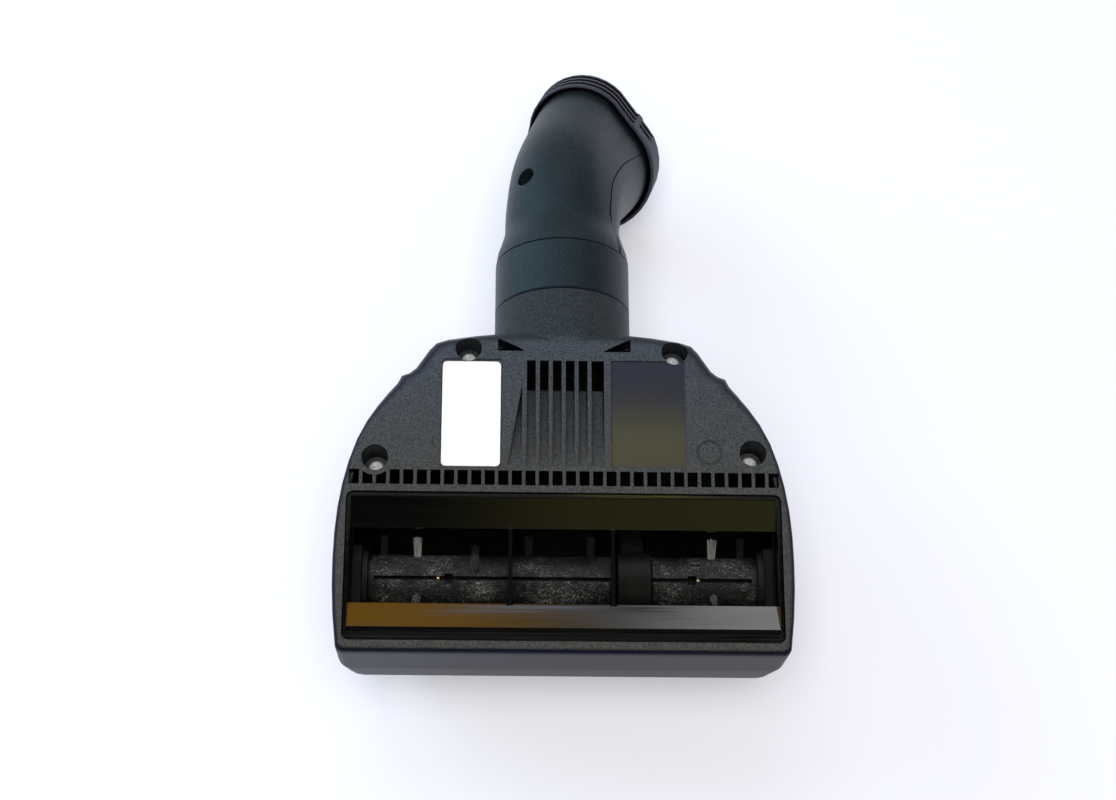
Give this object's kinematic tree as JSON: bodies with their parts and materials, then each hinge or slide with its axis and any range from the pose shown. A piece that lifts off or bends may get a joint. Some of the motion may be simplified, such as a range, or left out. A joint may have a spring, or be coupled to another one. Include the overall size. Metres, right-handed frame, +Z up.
{
  "type": "motorized vacuum hand brush",
  "caption": "Motorized vacuum hand brush lying on its crown: casing with a brush roll in its mouth, belt drive, motor, and a swivelling elbow with a hose socket.",
  "frame": {"origin": "on the flat crown, below the middle of the mouth, in the surface that the brush lies on", "axes": "+X across the brush, +Y along the neck away from the mouth, +Z up, out of the sole"},
  "size_m": [0.16, 0.2504, 0.0858],
  "materials": {
    "grained_abs": "spark-eroded grain",
    "smooth_abs": "smooth satin",
    "gloss_black": "polished",
    "dark_plastic": "moulded",
    "pale_plastic": "moulded",
    "zinc_steel": "zinc plated",
    "steel": "turned",
    "magnet": "sintered",
    "copper": "wound",
    "belt_rubber": "moulded",
    "collar_rubber": "ribbed",
    "bristle": "nylon tufts",
    "board": "laminate",
    "label_film": "satin film",
    "contact_brass": "plated"
  },
  "bodies": {
    "housing": {"base_shell": "grained_abs", "top_shell": "smooth_abs", "mouth_frame": "gloss_black", "roll_chamber": "dark_plastic", "belt_guard": "dark_plastic", "air_duct": "dark_plastic", "neck_bush": "pale_plastic", "housing_screws": "zinc_steel", "blank_label": "label_film", "bearing_block_left": "dark_plastic", "bearing_block_right": "dark_plastic", "roll_bearing_left": "steel", "roll_bearing_right": "steel", "drive_belt": "belt_rubber", "motor_can": "steel", "motor_front_cap": "dark_plastic", "motor_rear_cap": "dark_plastic", "field_magnets": "magnet", "circuit_board": "board"},
    "brush_roll": {"roll_core": "dark_plastic", "bristle_tufts": "bristle", "roll_shaft": "steel", "roll_pulley": "pale_plastic", "roll_end_caps": "dark_plastic"},
    "motor_rotor": {"rotor_shaft": "steel", "armature": "copper", "commutator": "copper", "motor_pulley": "pale_plastic", "cooling_fan": "dark_plastic"},
    "elbow": {"swivel_ring": "smooth_abs", "elbow_upper_shell": "smooth_abs", "elbow_lower_shell": "smooth_abs", "elbow_screw": "steel", "hose_collar": "collar_rubber", "hose_socket": "dark_plastic", "plug_housing": "dark_plastic", "contact_pins": "contact_brass"}
  },
  "joints": [
    {"name": "roll_spin", "type": "hinge", "parent": "housing", "child": "brush_roll", "pos_m": [0, -0.00043, 0.05869], "axis": [1, 0, 0], "continuous": true},
    {"name": "motor_spin", "type": "hinge", "parent": "housing", "child": "motor_rotor", "pos_m": [0, 0.044, 0.023], "axis": [1, 0, 0], "continuous": true},
    {"name": "elbow_swivel", "type": "hinge", "parent": "housing", "child": "elbow", "pos_m": [0, 0.10553, 0.06073], "axis": [0, 1, 0], "range_deg": [-69.4, 110.6]}
  ],
  "couplings": [
    {"joint": "motor_spin", "follows": "roll_spin", "ratio": 2}
  ]
}
